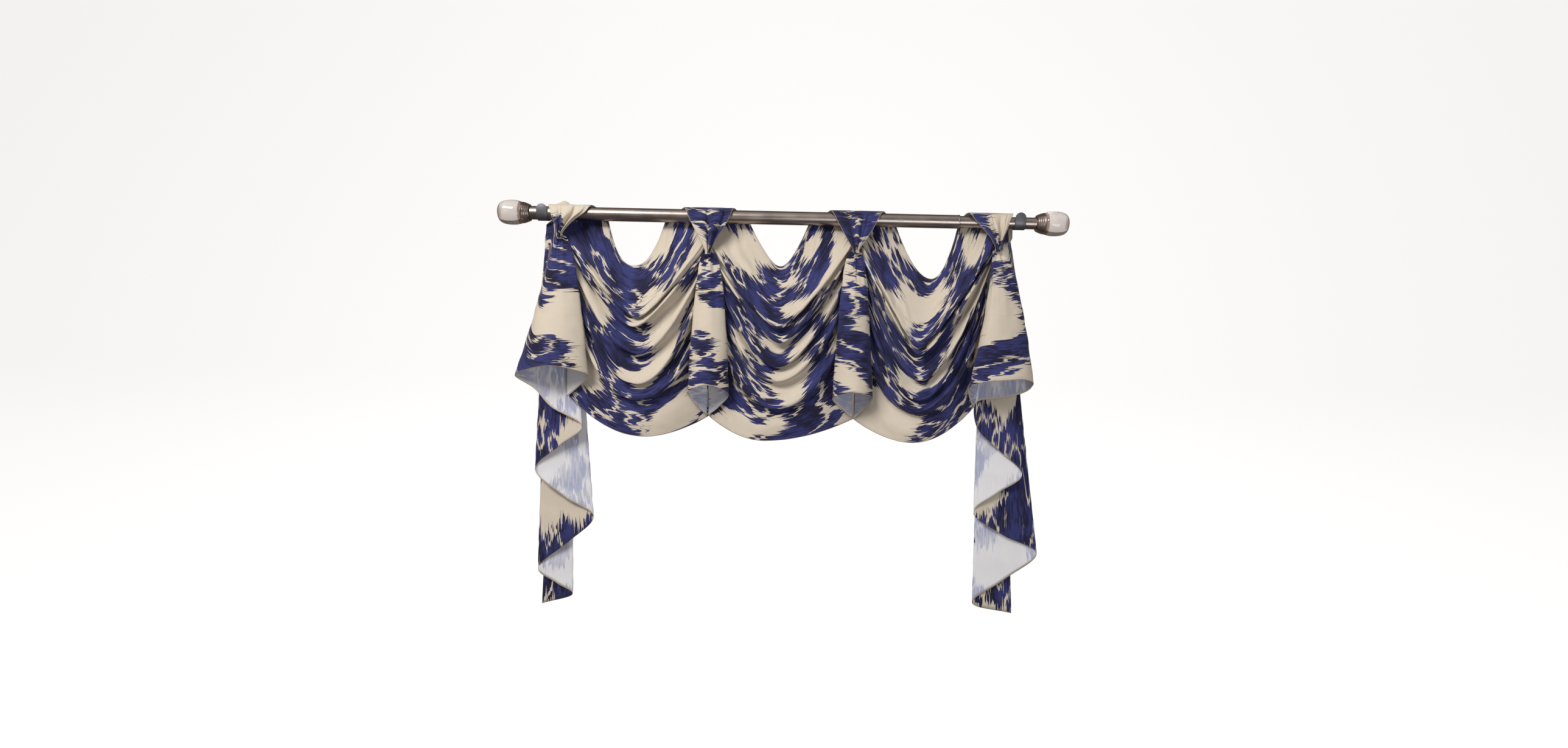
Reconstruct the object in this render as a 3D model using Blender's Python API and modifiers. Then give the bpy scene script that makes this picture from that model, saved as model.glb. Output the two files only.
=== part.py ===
"""Swag and tail drape: three swags, four tabs, two horns and two tails on a curtain rod.

+X runs along the rod, +Y into the wall, +Z up. The origin is on the wall, at the height of the
rod's axis and midway along it. Tables are in millimetres from the rod's axis: x along the rod,
z up, and "out" away from the wall.
"""

import math

import bmesh
import bpy
import numpy as np

MM = 0.001

# Driving sizes, in millimetres
ROD_FROM_WALL = 85.0
OUTER_TUBE_DIAMETER = 25.4
INNER_TUBE_DIAMETER = 22.2
TUBE_WALL = 1.3
ROD_END_LEFT = -477.5
ROD_END_RIGHT = 479.5
TUBE_JOINT_X = 335.0
INNER_TUBE_START_X = 215.0
CLOTH_THICKNESS = 1.2
FIT_GAP = 0.3
CRADLE_WIDTH = 20.6
CRADLE_THICKNESS = 1.8
CRADLE_LEFT_X = -453.5
CRADLE_RIGHT_X = 447.7
PLATE_WIDTH = 26.0
PLATE_HEIGHT = 48.0
PLATE_THICKNESS = 2.5
SCREW_HEAD_DIAMETER = 8.0
ARM_HEIGHT = 12.0

# Swag folds. One row per fold line, from the scooped top edge down to the hem:
# left end x, z, out; lowest point x, z, out; right end x, z, out; belly of the curve;
# fullness of its arms (small stands proud, large is tucked back)
SWAG_LEFT = (
    ("top edge", -335, -3, -15, -280, -97, 4, -224, -3, -15, 2.5, 1.2),
    ("upper slope", -356, -3, -15, -276, -128, 20, -196, -3, -15, 2.0, 1.2),
    ("lower slope", -394, -4, -15, -270, -158, 36, -166, -4, -15, 1.7, 1.1),
    ("under rod", -412, -8, -14, -265, -184, 48, -144, -18, -13, 1.35, 0.9),
    ("ridge 1", -421, -30, 2, -262, -197, 52, -142, -50, 6, 1.2, 0.8),
    ("trough 1", -419, -38, -1, -262, -188, 30, -141, -57, 4, 1.2, 1.5),
    ("ridge 2", -414, -46, 2, -270, -214, 50, -141, -65, 7, 1.3, 0.85),
    ("trough 2", -412, -53, 0, -264, -212, 26, -141, -74, 4, 1.45, 2.0),
    ("ridge 3", -410, -63, 2, -262, -262, 46, -142, -86, 6, 1.75, 0.95),
    ("trough 3", -407, -78, 1, -262, -264, 27, -143, -102, 3, 1.85, 2.2),
    ("ridge 4", -404, -98, 3, -262, -318, 48, -142, -126, 5, 1.95, 1.0),
    ("trough 4", -402, -124, 3, -262, -312, 30, -141, -160, 3, 2.0, 2.2),
    ("ridge 5", -401, -160, 3, -262, -346, 47, -139, -205, 2, 2.05, 1.1),
    ("trough 5", -399, -215, 1, -258, -352, 33, -137, -255, 0, 2.1, 1.8),
    ("lower fall", -397, -285, 3, -254, -388, 38, -134, -318, -2, 2.0, 1.4),
    ("hem", -396, -347, 5, -250, -417, 35, -131, -377, -6, 1.9, 1.3),
)
SWAG_CENTRE = (
    ("top edge", -65, -3, -15, -2, -92, 4, 52, -3, -15, 1.35, 1.2),
    ("upper slope", -88, -3, -15, -4, -126, 20, 80, -3, -15, 1.45, 1.2),
    ("lower slope", -114, -4, -15, -5, -160, 36, 112, -4, -15, 1.4, 1.1),
    ("under rod", -132, -17, -13, -5, -190, 47, 134, -17, -13, 1.35, 0.9),
    ("ridge 1", -137, -50, 5, -5, -213, 51, 134, -44, 6, 1.2, 0.8),
    ("trough 1", -137, -57, 3, -3, -205, 30, 135, -50, 4, 1.2, 1.5),
    ("ridge 2", -137, -65, 5, 0, -238, 52, 135, -58, 7, 1.25, 0.85),
    ("trough 2", -136, -74, 3, -2, -232, 26, 135, -67, 4, 1.4, 2.0),
    ("ridge 3", -134, -86, 5, -5, -282, 49, 135, -78, 6, 1.65, 0.95),
    ("trough 3", -131, -102, 3, -5, -276, 28, 135, -92, 3, 1.75, 2.2),
    ("ridge 4", -131, -124, 5, -5, -308, 46, 136, -114, 5, 1.9, 1.0),
    ("trough 4", -130, -154, 3, -5, -314, 29, 136, -142, 3, 2.0, 2.2),
    ("ridge 5", -130, -195, 3, -6, -357, 46, 137, -182, 3, 2.0, 1.1),
    ("trough 5", -130, -248, 1, -10, -362, 33, 139, -238, 0, 2.1, 1.8),
    ("lower fall", -131, -315, -1, -18, -394, 38, 141, -312, -3, 2.0, 1.4),
    ("hem", -133, -378, -2, -28, -420, 35, 143, -378, -6, 1.9, 1.3),
)
SWAG_RIGHT = (
    ("top edge", 216, -3, -15, 283, -110, 4, 336, -3, -15, 1.9, 1.2),
    ("upper slope", 196, -3, -15, 276, -140, 20, 356, -3, -15, 1.7, 1.2),
    ("lower slope", 168, -4, -15, 268, -174, 36, 376, -4, -15, 1.5, 1.1),
    ("under rod", 148, -17, -13, 260, -208, 46, 391, -9, -14, 1.3, 0.9),
    ("ridge 1", 142, -44, 6, 255, -241, 52, 403, -38, 4, 1.1, 0.75),
    ("trough 1", 142, -50, 4, 256, -230, 30, 404, -45, 2, 1.1, 1.5),
    ("ridge 2", 143, -58, 7, 255, -254, 54, 404, -52, 4, 1.15, 0.85),
    ("trough 2", 143, -67, 4, 256, -250, 26, 402, -61, 2, 1.35, 2.0),
    ("ridge 3", 144, -78, 6, 258, -300, 49, 399, -72, 4, 1.55, 0.95),
    ("trough 3", 145, -92, 3, 258, -298, 28, 396, -87, 2, 1.7, 2.2),
    ("ridge 4", 145, -114, 5, 257, -338, 46, 390, -108, 4, 1.8, 1.0),
    ("trough 4", 146, -142, 3, 256, -334, 30, 389, -136, 3, 1.9, 2.2),
    ("ridge 5", 145, -182, 3, 254, -360, 45, 387, -172, 3, 2.0, 1.1),
    ("trough 5", 144, -238, 1, 252, -370, 34, 383, -222, 1, 2.1, 1.8),
    ("lower fall", 142, -312, -1, 250, -396, 39, 377, -288, -1, 2.0, 1.4),
    ("hem", 141, -378, -2, 247, -418, 36, 370, -352, -3, 1.9, 1.3),
)

# Horns and tails. One row per line running from the gather down to the hem:
# top x, z, out; hem x, z, out; flare (under 1 spreads early)
HORN_CENTRE_LEFT = (
    ("left seam edge", -140, -76, 12.5, -136, -377, 2, 1.0),
    ("left back wall", -143, -75, 16, -152, -360, 18, 0.7),
    ("left corner", -146, -73, 19, -167, -337, 37, 0.36),
    ("front left", -143, -71, 21.5, -154, -325, 56, 0.6),
    ("front", -138, -70, 22.5, -130, -319, 63, 1.0),
    ("front right", -134, -71, 22.5, -108, -325, 56, 0.45),
    ("right corner", -131, -73, 21, -94, -338, 37, 0.36),
    ("right back wall", -134, -75, 17, -112, -360, 18, 0.6),
    ("right seam edge", -137, -76, 12.5, -133, -377, 2, 1.0),
)
HORN_CENTRE_RIGHT = (
    ("left seam edge", 137, -68, 12.5, 138.5, -377, 2, 1.0),
    ("left back wall", 134, -67, 16, 120, -361, 18, 0.7),
    ("left corner", 130, -65, 19, 98, -341, 37, 0.42),
    ("front left", 133, -63, 21.5, 112, -333, 56, 0.6),
    ("front", 138, -62, 22.5, 138, -329, 63, 1.0),
    ("front right", 143, -63, 21.5, 163, -332, 56, 0.6),
    ("right corner", 147, -65, 19, 175, -337, 37, 0.5),
    ("right back wall", 144, -67, 16, 160, -358, 18, 0.7),
    ("right seam edge", 140, -68, 12.5, 143.5, -377, 2, 1.0),
)
TAIL_LEFT = (
    ("seam edge", -411, -50, 12.5, -399, -347, 9, 1.0),
    ("inner back wall", -409, -49, 15, -373, -326, 23, 0.9),
    ("inner corner", -407, -47, 19, -352, -307, 39, 0.6),
    ("front inner", -410, -45, 21, -374, -297, 56, 0.6),
    ("front", -415, -44, 20, -414, -290, 63, 0.9),
    ("front outer", -420, -44, 19, -458, -296, 54, 0.7),
    ("outer corner", -436, -17, -6, -491, -309, 32, 1.5),
    ("side", -452, -19, -14, -460, -333, 14, 1.8),
    ("back wall", -432, -4, -17, -430, -368, 4, 1.0),
    ("fold 1", -408, -4, -19, -373, -404, -3, 1.0),
    ("panel 2", -424, -4, -22, -418, -443, -10, 1.0),
    ("fold 2", -441, -4, -25, -465, -490, -17, 0.5),
    ("panel 3", -424, -4, -28, -408, -543, -24, 1.0),
    ("fold 3", -408, -4, -31, -354, -580, -30, 1.0),
    ("panel 4", -424, -4, -34, -402, -630, -36, 1.0),
    ("fold 4", -441, -4, -37, -463, -683, -42, 0.3),
    ("panel 5", -424, -4, -40, -428, -714, -46, 1.0),
    ("fold 5", -408, -4, -43, -397, -737, -50, 1.0),
    ("free edge", -436, -4, -46, -458, -757, -55, 1.0),
)
TAIL_RIGHT = (
    ("seam edge", 399, -58, 12.5, 370, -352, 2, 1.0),
    ("inner back wall", 397, -57, 14, 357, -337, 20, 1.2),
    ("inner corner", 395, -56, 16, 350, -317, 38, 1.4),
    ("front inner", 398, -54, 19, 371, -304, 56, 1.2),
    ("front", 402, -53, 20, 410, -299, 63, 0.9),
    ("front outer", 407, -53, 19, 450, -297, 52, 0.6),
    ("outer corner", 413, -51, 14, 471, -305, 31, 0.55),
    ("side", 433, -4, -16, 462, -320, 15, 0.9),
    ("back wall", 424, -4, -17, 424, -333, 5, 1.0),
    ("fold 1 upper", 398, -4, -19, 375, -343, -5, 1.0),
    ("fold 1 lower", 400, -4, -20, 381, -394, -9, 1.0),
    ("panel 2", 416, -4, -22, 424, -434, -13, 1.0),
    ("fold 2", 433, -4, -25, 470, -480, -18, 0.6),
    ("panel 3", 416, -4, -28, 424, -518, -24, 1.0),
    ("fold 3", 398, -4, -31, 381, -558, -30, 0.5),
    ("panel 4", 416, -4, -34, 442, -601, -36, 1.0),
    ("fold 4", 433, -4, -37, 509, -636, -41, 1.1),
    ("panel 5", 416, -4, -40, 446, -690, -46, 1.0),
    ("fold 5", 398, -4, -43, 387, -737, -50, 0.5),
    ("free edge", 428, -4, -46, 466, -757, -55, 1.0),
)

# Tabs. One row per line across the strap, from behind the rod over it and down to the pinch:
# left x, right x, z, out, depth of the pleats
TAB_1 = (
    ("back", -441, -345, 1.5, -16.0, 0.0),
    ("back top", -443, -353, 12.0, -11.0, 0.3),
    ("top", -444, -361, 16.4, 0.0, 0.6),
    ("front top", -441, -364, 11.8, 11.4, 0.8),
    ("front", -436, -371, 0.0, 17.0, 1.4),
    ("upper fall", -430, -388, -15.0, 20.6, 2.6),
    ("lower fall", -423, -400, -28.0, 23.3, 3.2),
    ("pinch", -420, -409, -41.0, 24.8, 2.2),
    ("tip", -419, -410, -50.0, 27.0, 1.6),
)
TAB_2 = (
    ("back", -208, -80, 1.5, -16.0, 0.0),
    ("back top", -198, -86, 12.0, -11.0, 0.3),
    ("top", -187, -92, 16.4, 0.0, 0.6),
    ("front top", -184, -94, 11.8, 11.4, 0.8),
    ("front", -179, -98, 0.0, 17.0, 1.4),
    ("upper fall", -168, -108, -22.0, 20.6, 2.6),
    ("lower fall", -155, -122, -45.0, 23.3, 3.2),
    ("pinch", -144, -132, -68.0, 25.4, 2.2),
    ("tip", -143, -133, -76.0, 28.4, 1.6),
)
TAB_3 = (
    ("back", 74, 204, 1.5, -16.0, 0.0),
    ("back top", 82, 199, 12.0, -11.0, 0.3),
    ("top", 90, 192, 16.4, 0.0, 0.6),
    ("front top", 93, 187, 11.8, 11.4, 0.8),
    ("front", 99, 180, 0.0, 17.0, 1.4),
    ("upper fall", 109, 170, -20.0, 20.6, 2.6),
    ("lower fall", 120, 158, -40.0, 23.3, 3.2),
    ("pinch", 131, 145, -60.0, 25.4, 2.2),
    ("tip", 132, 144, -68.0, 28.4, 1.6),
)
TAB_4 = (
    ("back", 340, 433, 1.5, -16.0, 0.0),
    ("back top", 345, 435, 12.5, -11.5, 0.3),
    ("top", 351, 436, 17.4, 0.0, 0.6),
    ("front top", 354, 433, 12.4, 11.8, 0.8),
    ("front", 361, 426, 0.0, 17.4, 1.4),
    ("upper fall", 375, 420, -17.0, 21.0, 2.6),
    ("lower fall", 388, 412, -34.0, 23.5, 3.2),
    ("pinch", 396, 407, -50.0, 24.8, 2.2),
    ("tip", 397, 406, -59.0, 27.0, 1.6),
)

# Side profiles turned about the rod's axis: distance out from the tube's end, radius
COLLAR_PROFILE = (
    ("bore end", -6.0, 0.0),
    ("spigot", -6.0, 9.4),
    ("spigot root", 0.4, 9.4),
    ("lip", 0.4, 14.2),
    ("ring 1", 1.6, 15.8),
    ("groove 1", 3.0, 14.8),
    ("ring 2", 4.6, 17.2),
    ("groove 2", 6.0, 16.0),
    ("ring 3", 7.7, 18.4),
    ("groove 3", 9.1, 17.2),
    ("ring 4", 10.9, 19.4),
    ("groove 4", 12.3, 18.3),
    ("ring 5", 14.2, 20.2),
    ("rim", 15.7, 19.7),
    ("seat", 15.7, 0.0),
)
GLASS_PROFILE = (
    ("seat rim", 16.0, 18.6),
    ("shoulder", 18.5, 20.6),
    ("upper belly", 26.0, 22.6),
    ("belly", 35.0, 23.2),
    ("lower belly", 45.5, 22.4),
    ("end shoulder", 53.5, 20.0),
    ("end round", 58.4, 16.0),
    ("end edge", 60.6, 10.5),
    ("end", 61.2, 0.0),
)


def clear_scene():
    for old in list(bpy.data.objects):
        bpy.data.objects.remove(old, do_unlink=True)


def collection(name, hidden):
    made = bpy.data.collections.new(name)
    bpy.context.scene.collection.children.link(made)
    made.hide_render = hidden
    return made


def material(name, colour, metallic=0.0, roughness=0.5, transmission=0.0):
    made = bpy.data.materials.new(name)
    made.use_nodes = True
    shader = made.node_tree.nodes["Principled BSDF"]
    shader.inputs["Base Color"].default_value = (*colour, 1.0)
    shader.inputs["Metallic"].default_value = metallic
    shader.inputs["Roughness"].default_value = roughness
    shader.inputs["Transmission Weight"].default_value = transmission
    made.diffuse_color = (*colour, 1.0)
    return made


def place(x, z, out):
    """A point in metres in the frame, from millimetres measured from the rod's axis."""
    return (x * MM, -(ROD_FROM_WALL + out) * MM, z * MM)


def mesh_object(name, points, faces, surface, home):
    mesh = bpy.data.meshes.new(name)
    mesh.from_pydata([place(*point) for point in points], [], faces)
    mesh.materials.append(surface)
    mesh.update()
    made = bpy.data.objects.new(name, mesh)
    home.objects.link(made)
    return made


def between(rows, share):
    """The row at this share of the way down the table, on a curve through every row."""
    last = len(rows) - 1
    at = min(max(share, 0.0), 1.0) * last
    i = min(int(at), last - 1)
    t = at - i
    a, b = rows[i], rows[i + 1]
    before = rows[i - 1] if i > 0 else 2 * a - b
    after = rows[i + 2] if i + 2 <= last else 2 * b - a
    return 0.5 * (
        2 * a
        + (b - before) * t
        + (2 * before - 5 * a + 4 * b - after) * t * t
        + (3 * a - before - 3 * b + after) * t * t * t
    )


def numbers(table):
    return [np.array(row[1:], float) for row in table]


def cloth(name, grid, surface, home):
    """A sheet of cloth through a grid of points, given its thickness."""
    rows, columns = len(grid), len(grid[0])
    points = [point for row in grid for point in row]
    faces = []
    for r in range(rows - 1):
        for c in range(columns - 1):
            a = r * columns + c
            faces.append((a, a + columns, a + columns + 1, a + 1))
    made = mesh_object(name, points, faces, surface, home)
    thicken = made.modifiers.new("Cloth thickness", "SOLIDIFY")
    thicken.thickness = CLOTH_THICKNESS * MM
    thicken.offset = 0.0
    thicken.use_even_offset = False
    return made


def swag(name, table, surface, home, across=12, down=30):
    """A swag: every fold line hangs from its two ends and is lowest near the middle."""
    rows = numbers(table)
    grid = []
    for r in range(down + 1):
        rounding = 0.11 + 0.21 * max(0.0, 1 - 4 * r / down)
        (lx, lz, lo, cx, cz, co, rx, rz, ro, belly, full) = between(rows, r / down)
        line = []
        for c in range(across + 1):
            s = 2 * c / across - 1
            t = 1 - (1 - abs(s)) ** 1.25
            ex, ez, eo = (lx, lz, lo) if s < 0 else (rx, rz, ro)
            top = (1 + rounding**2) ** (belly / 2) - rounding**belly
            rise = ((t * t + rounding**2) ** (belly / 2) - rounding**belly) / top
            bulge = (1 - t * t) ** full
            line.append((cx + (ex - cx) * t, cz + (ez - cz) * rise, eo + (co - eo) * bulge))
        grid.append(line)
    return cloth(name, grid, surface, home)


def falling(name, table, surface, home, lines, down=8):
    """A horn or a tail: lines fall from the gather to the hem and flare on the way."""
    rows = numbers(table)
    grid = []
    for d in range(down + 1):
        t = (d / down) ** 1.4
        level = []
        for i in range(lines + 1):
            (tx, tz, to, hx, hz, ho, flare) = between(rows, i / lines)
            x = tx + (hx - tx) * t ** max(flare, 0.3)
            out = to + (ho - to) * t**0.85
            level.append((x, tz + (hz - tz) * t, out))
        grid.append(level)
    return cloth(name, grid, surface, home)


def tab(name, table, surface, home, across=6, along=12):
    """A strap over the rod, pleated toward its pinch."""
    rows = numbers(table)
    grid = []
    for r in range(along + 1):
        left, right, z, out, depth = between(rows, r / along)
        line = []
        for c in range(across + 1):
            s = c / across
            wave = depth * math.cos(s * 4 * math.pi)
            line.append((left + (right - left) * s, z, out + wave))
        grid.append(line)
    return cloth(name, grid, surface, home)


def rounded(profile, steps):
    """A finer profile on a smooth curve through these rows, closed by a flat seat at its start."""
    rows = np.array([row[1:] for row in profile])
    rows = np.vstack([2 * rows[0] - rows[1], rows, rows[-1] * (2, 2) - rows[-2]])
    finer = [("seat", profile[0][1], 0.0)]
    for k in range(len(profile) - 1):
        p0, p1, p2, p3 = rows[k : k + 4]
        for i in range(steps):
            t = i / steps
            at = 2 * p1 + (p2 - p0) * t + (2 * p0 - 5 * p1 + 4 * p2 - p3) * t**2
            at = (at + (3 * p1 - p0 - 3 * p2 + p3) * t**3) / 2
            finer.append((f"{profile[k][0]} {i}", at[0], at[1]))
    finer.append(profile[-1])
    return finer


def turned(name, profile, end_x, side, surface, home, steps=40):
    """A solid turned about the rod's axis. side is +1 on the right end and -1 on the left."""
    points = [(end_x + side * along, radius, 0.0) for _, along, radius in profile]
    edges = [(i, i + 1) for i in range(len(points) - 1)]
    if profile[0][2] > 0:
        edges.append((len(points) - 1, 0))
    mesh = bpy.data.meshes.new(name)
    mesh.from_pydata([(x * MM, 0.0, radius * MM) for x, radius, _ in points], edges, [])
    mesh.materials.append(surface)
    made = bpy.data.objects.new(name, mesh)
    home.objects.link(made)
    made.location = (0.0, -ROD_FROM_WALL * MM, 0.0)
    spin = made.modifiers.new("Turn", "SCREW")
    spin.axis = "X"
    spin.steps = steps
    spin.render_steps = steps
    spin.use_merge_vertices = True
    spin.merge_threshold = 0.00001
    spin.use_normal_calculate = True
    spin.use_smooth_shade = False
    spin.use_normal_flip = False
    return made


def tube(name, x0, x1, outer, inner, lip, surface, home):
    profile = [
        ("bore start", 0.0, inner),
        ("bore end", x1 - x0, inner),
        ("rim", x1 - x0, outer - 0.4),
        ("rim round", x1 - x0 - 0.4, outer),
        ("start round", 0.4, outer),
        ("start", 0.0, outer - 0.4),
    ]
    if lip:
        profile[3:4] = [
            ("lip front", x1 - x0 - 0.3, outer + 0.1),
            ("lip top", x1 - x0 - 1.0, outer + 0.5),
            ("lip back", x1 - x0 - 2.4, outer + 0.5),
            ("lip root", x1 - x0 - 3.0, outer),
        ]
    return turned(name, profile, x0, 1, surface, home, 40)


def cradle(name, centre_x, tube_radius, lip_height, surface, home):
    """The arm from the wall plate, round under the tube and up into a rounded front lip."""
    inner = tube_radius + FIT_GAP
    middle = inner + CRADLE_THICKNESS / 2
    back = -(ROD_FROM_WALL - PLATE_THICKNESS - FIT_GAP)
    path = [(back, ARM_HEIGHT), (back + 20.0, ARM_HEIGHT), (-36.0, ARM_HEIGHT - 1.0)]
    path += [(-27.0, ARM_HEIGHT - 5.0), (-20.0, 0.0)]
    for i in range(10):
        turn = math.radians(-155 + i * 16.1)
        path.append((middle * math.cos(turn), middle * math.sin(turn)))
    front = middle + 0.6
    rise = lip_height
    half = CRADLE_WIDTH / 2
    for share in (0.0, 0.35, 0.6, 0.76, 0.88, 0.96, 1.0):
        path.append((front + 1.2 * share, 2.0 + (rise - 2.0) * share))
    points = []
    sections = []
    for i, (out, z) in enumerate(path):
        before, after = path[max(i - 1, 0)], path[min(i + 1, len(path) - 1)]
        along = np.array([after[0] - before[0], after[1] - before[1]])
        along = along / np.linalg.norm(along)
        normal = np.array([-along[1], along[0]]) * CRADLE_THICKNESS / 2
        below_top = rise - z if out > 0 else 99.0
        width = half
        if below_top < half:
            width = max(math.sqrt(max(half**2 - (half - below_top) ** 2, 0.0)), 2.2)
        ring = []
        for sx, sn in ((-1, -1), (1, -1), (1, 1), (-1, 1)):
            points.append((centre_x + sx * width, z + sn * normal[1], out + sn * normal[0]))
            ring.append(len(points) - 1)
        sections.append(ring)
    faces = [tuple(sections[0][::-1]), tuple(sections[-1])]
    for a, b in zip(sections, sections[1:]):
        for k in range(4):
            faces.append((a[k], a[(k + 1) % 4], b[(k + 1) % 4], b[k]))
    made = mesh_object(name, points, faces, surface, home)
    outward(made)
    soften(made, 0.5)
    return made


def outward(made):
    shape = bmesh.new()
    shape.from_mesh(made.data)
    bmesh.ops.recalc_face_normals(shape, faces=shape.faces)
    shape.to_mesh(made.data)
    shape.free()


def soften(made, width, segments=2):
    bevel = made.modifiers.new("Soft edges", "BEVEL")
    bevel.width = width * MM
    bevel.segments = segments
    bevel.limit_method = "ANGLE"
    bevel.angle_limit = math.radians(50)


def wall_plate(name, centre_x, screw_zs, surface, home, cutters):
    """A flat plate with rounded ends on the wall, drilled for its screws."""
    half_w, half_h = PLATE_WIDTH / 2, PLATE_HEIGHT / 2
    outline = []
    for i in range(13):
        turn = math.radians(i * 15)
        outline.append((half_w * math.cos(turn), half_h - half_w + half_w * math.sin(turn)))
    for i in range(13):
        turn = math.radians(180 + i * 15)
        outline.append((half_w * math.cos(turn), half_w - half_h + half_w * math.sin(turn)))
    count = len(outline)
    wall = -ROD_FROM_WALL
    points = [(centre_x + x, z, wall) for x, z in outline]
    points += [(centre_x + x, z, wall + PLATE_THICKNESS) for x, z in outline]
    faces = [tuple(range(count)), tuple(range(2 * count - 1, count - 1, -1))]
    for i in range(count):
        j = (i + 1) % count
        faces.append((i, j, count + j, count + i))
    made = mesh_object(name, points, faces, surface, home)
    outward(made)
    for n, z in enumerate(screw_zs, 1):
        bpy.ops.mesh.primitive_cylinder_add(
            vertices=24,
            radius=2.3 * MM,
            depth=12 * MM,
            location=place(centre_x, z, wall + 1),
            rotation=(math.pi / 2, 0, 0),
        )
        cutter = bpy.context.object
        cutter.name = f"{name}_drill_{n}"
        for owner in list(cutter.users_collection):
            owner.objects.unlink(cutter)
        cutters.objects.link(cutter)
        cutter.hide_render = True
        cut = made.modifiers.new(f"Screw hole {n}", "BOOLEAN")
        cut.operation = "DIFFERENCE"
        cut.solver = "EXACT"
        cut.object = cutter
    soften(made, 0.6)
    return made


def screw(name, centre_x, z, surface, home):
    """A pan-head screw whose shank ends at the wall."""
    head = SCREW_HEAD_DIAMETER / 2
    base = PLATE_THICKNESS + FIT_GAP
    profile = (
        (0.3, 0.0),
        (0.3, 2.0),
        (base, 2.0),
        (base, head),
        (base + 1.0, head - 0.2),
        (base + 2.0, head - 1.4),
        (base + 2.4, 0.0),
    )
    mesh = bpy.data.meshes.new(name)
    mesh.from_pydata(
        [(radius * MM, -along * MM, 0.0) for along, radius in profile],
        [(i, i + 1) for i in range(len(profile) - 1)],
        [],
    )
    mesh.materials.append(surface)
    made = bpy.data.objects.new(name, mesh)
    home.objects.link(made)
    made.location = (centre_x * MM, 0.0, z * MM)
    spin = made.modifiers.new("Turn", "SCREW")
    spin.axis = "Y"
    spin.steps = 20
    spin.render_steps = 20
    spin.use_merge_vertices = True
    spin.merge_threshold = 0.00001
    spin.use_normal_calculate = True
    spin.use_smooth_shade = False
    spin.use_normal_flip = True
    return made


def build():
    clear_scene()
    home = collection("Swag and tail drape", False)
    cutters = collection("Cutters", True)

    print_cloth = material("Printed cotton", (0.55, 0.48, 0.40), 0.0, 0.85)
    print_cloth_dark = material("Printed cotton, shaded", (0.12, 0.12, 0.30), 0.0, 0.85)
    nickel = material("Brushed nickel", (0.55, 0.52, 0.48), 1.0, 0.28)
    grey = material("Grey painted steel", (0.22, 0.22, 0.24), 0.6, 0.45)
    glass = material("Clear glass", (0.95, 0.95, 0.95), 0.0, 0.02, 1.0)

    swag("swag_left", SWAG_LEFT, print_cloth, home)
    swag("swag_centre", SWAG_CENTRE, print_cloth, home)
    swag("swag_right", SWAG_RIGHT, print_cloth, home)
    tab("tab_1", TAB_1, print_cloth, home)
    tab("tab_2", TAB_2, print_cloth, home)
    tab("tab_3", TAB_3, print_cloth, home)
    tab("tab_4", TAB_4, print_cloth, home)
    falling("horn_centre_left", HORN_CENTRE_LEFT, print_cloth_dark, home, 16)
    falling("horn_centre_right", HORN_CENTRE_RIGHT, print_cloth_dark, home, 16)
    falling("tail_left", TAIL_LEFT, print_cloth_dark, home, 36, 9)
    falling("tail_right", TAIL_RIGHT, print_cloth_dark, home, 38, 9)

    outer = OUTER_TUBE_DIAMETER / 2
    inner = INNER_TUBE_DIAMETER / 2
    bore = inner + FIT_GAP
    tube("rod_outer_tube", ROD_END_LEFT, TUBE_JOINT_X, outer, bore, True, nickel, home)
    start, end = INNER_TUBE_START_X, ROD_END_RIGHT
    tube("rod_inner_tube", start, end, inner, inner - TUBE_WALL, False, nickel, home)

    turned("finial_collar_left", COLLAR_PROFILE, ROD_END_LEFT, -1, nickel, home)
    turned("finial_collar_right", COLLAR_PROFILE, ROD_END_RIGHT, 1, nickel, home)
    barrel = rounded(GLASS_PROFILE, 3)
    turned("finial_glass_left", barrel, ROD_END_LEFT, -1, glass, home, 56)
    turned("finial_glass_right", barrel, ROD_END_RIGHT, 1, glass, home, 56)

    cradle("cradle_left", CRADLE_LEFT_X, outer, 14.7, grey, home)
    cradle("cradle_right", CRADLE_RIGHT_X, inner, 17.4, grey, home)
    screw_zs = (0.0, -15.0)
    wall_plate("wall_plate_left", CRADLE_LEFT_X, screw_zs, nickel, home, cutters)
    wall_plate("wall_plate_right", CRADLE_RIGHT_X, screw_zs, nickel, home, cutters)
    for side, x in (("left", CRADLE_LEFT_X), ("right", CRADLE_RIGHT_X)):
        for place_name, z in zip(("upper", "lower"), screw_zs):
            screw(f"plate_screw_{side}_{place_name}", x, z, nickel, home)


build()
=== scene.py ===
"""Swag and tail drape on a curtain rod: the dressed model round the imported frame."""

import math

import bpy
import numpy as np
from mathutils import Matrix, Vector


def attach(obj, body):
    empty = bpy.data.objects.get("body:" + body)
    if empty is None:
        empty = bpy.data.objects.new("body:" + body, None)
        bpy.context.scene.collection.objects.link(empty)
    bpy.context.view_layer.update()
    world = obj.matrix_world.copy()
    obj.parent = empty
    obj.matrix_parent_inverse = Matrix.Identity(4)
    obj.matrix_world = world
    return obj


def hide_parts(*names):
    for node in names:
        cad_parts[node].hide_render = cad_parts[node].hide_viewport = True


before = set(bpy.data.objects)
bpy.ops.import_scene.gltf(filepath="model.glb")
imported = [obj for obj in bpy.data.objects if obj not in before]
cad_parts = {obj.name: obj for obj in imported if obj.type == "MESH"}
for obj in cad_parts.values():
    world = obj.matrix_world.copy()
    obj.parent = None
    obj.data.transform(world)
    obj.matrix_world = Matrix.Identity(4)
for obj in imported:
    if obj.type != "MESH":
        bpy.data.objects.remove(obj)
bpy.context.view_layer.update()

# The cloth's numbers are in millimetres: x to the right and z up from the middle of the rod's
# centre line, and out from it towards the room.
MM = 0.001
ROD_FROM_WALL = 85.0
CLOTH_THICKNESS = 0.8
HEM_WIDTH = 4.0

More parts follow.
